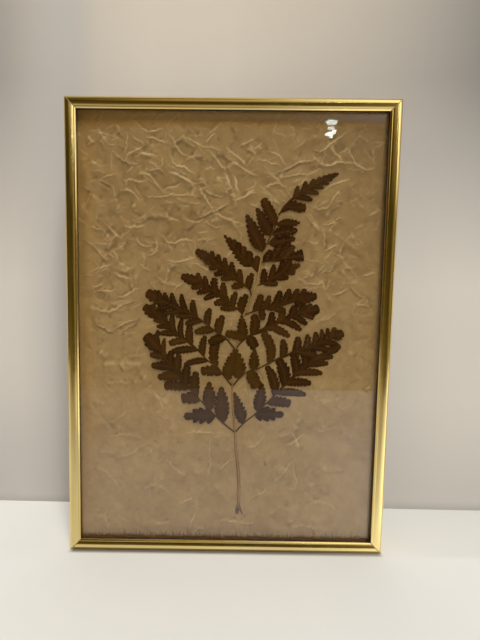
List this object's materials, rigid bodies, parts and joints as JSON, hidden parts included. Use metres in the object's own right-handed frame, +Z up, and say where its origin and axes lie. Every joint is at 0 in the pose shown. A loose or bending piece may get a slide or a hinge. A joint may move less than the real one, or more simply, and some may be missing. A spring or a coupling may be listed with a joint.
{
  "type": "pressed fern frame",
  "caption": "Slim gold metal frame, upright, with a dried fern frond pressed on creased brown paper behind glass.",
  "frame": {"origin": "middle of the underside of the upright frame, halfway between its front ridge and its rear lips", "axes": "+X to the viewer's right, +Y from the front towards the back, +Z up along the longer side"},
  "size_m": [0.214, 0.022, 0.301],
  "materials": {
    "polished_gold": "gold anodised, polished",
    "zinc_steel": "zinc plated, dull",
    "spring_steel": "blued spring steel",
    "dark_steel": "black oxide",
    "clear_glass": "clear float glass",
    "brown_paper": "matt, crumpled and flattened",
    "hardboard": "pressed wood fibre, matt",
    "dry_leaf": "dried leaf tissue, matt to satin",
    "dry_stem": "dried fibrous stalk"
  },
  "bodies": {
    "root": {"rail_bottom": "polished_gold", "rail_top": "polished_gold", "rail_left": "polished_gold", "rail_right": "polished_gold", "glass_pane": "clear_glass", "creased_paper": "brown_paper", "backing_board": "hardboard", "corner_plate_bottom_left": "zinc_steel", "corner_plate_bottom_right": "zinc_steel", "corner_plate_top_left": "zinc_steel", "corner_plate_top_right": "zinc_steel", "corner_screw_bottom_left_1": "dark_steel", "corner_screw_bottom_left_2": "dark_steel", "corner_screw_bottom_right_1": "dark_steel", "corner_screw_bottom_right_2": "dark_steel", "corner_screw_top_left_1": "dark_steel", "corner_screw_top_left_2": "dark_steel", "corner_screw_top_right_1": "dark_steel", "corner_screw_top_right_2": "dark_steel", "spring_clip_bottom": "spring_steel", "spring_clip_top": "spring_steel", "spring_clip_left_lower": "spring_steel", "spring_clip_left_upper": "spring_steel", "spring_clip_right_lower": "spring_steel", "spring_clip_right_upper": "spring_steel", "stem": "dry_stem", "branch_left_1": "dry_leaf", "branch_left_2": "dry_leaf", "branch_left_3": "dry_leaf", "branch_left_4": "dry_leaf", "branch_left_5": "dry_leaf", "branch_left_6": "dry_leaf", "branch_left_7": "dry_leaf", "branch_left_8": "dry_leaf", "branch_left_9": "dry_leaf", "branch_right_1": "dry_leaf", "branch_right_2": "dry_leaf", "branch_right_3": "dry_leaf", "branch_right_4": "dry_leaf", "branch_right_5": "dry_leaf", "branch_right_6": "dry_leaf", "branch_right_7": "dry_leaf", "branch_right_8": "dry_leaf", "branch_right_9": "dry_leaf", "branch_tip": "dry_leaf"}
  },
  "joints": []
}
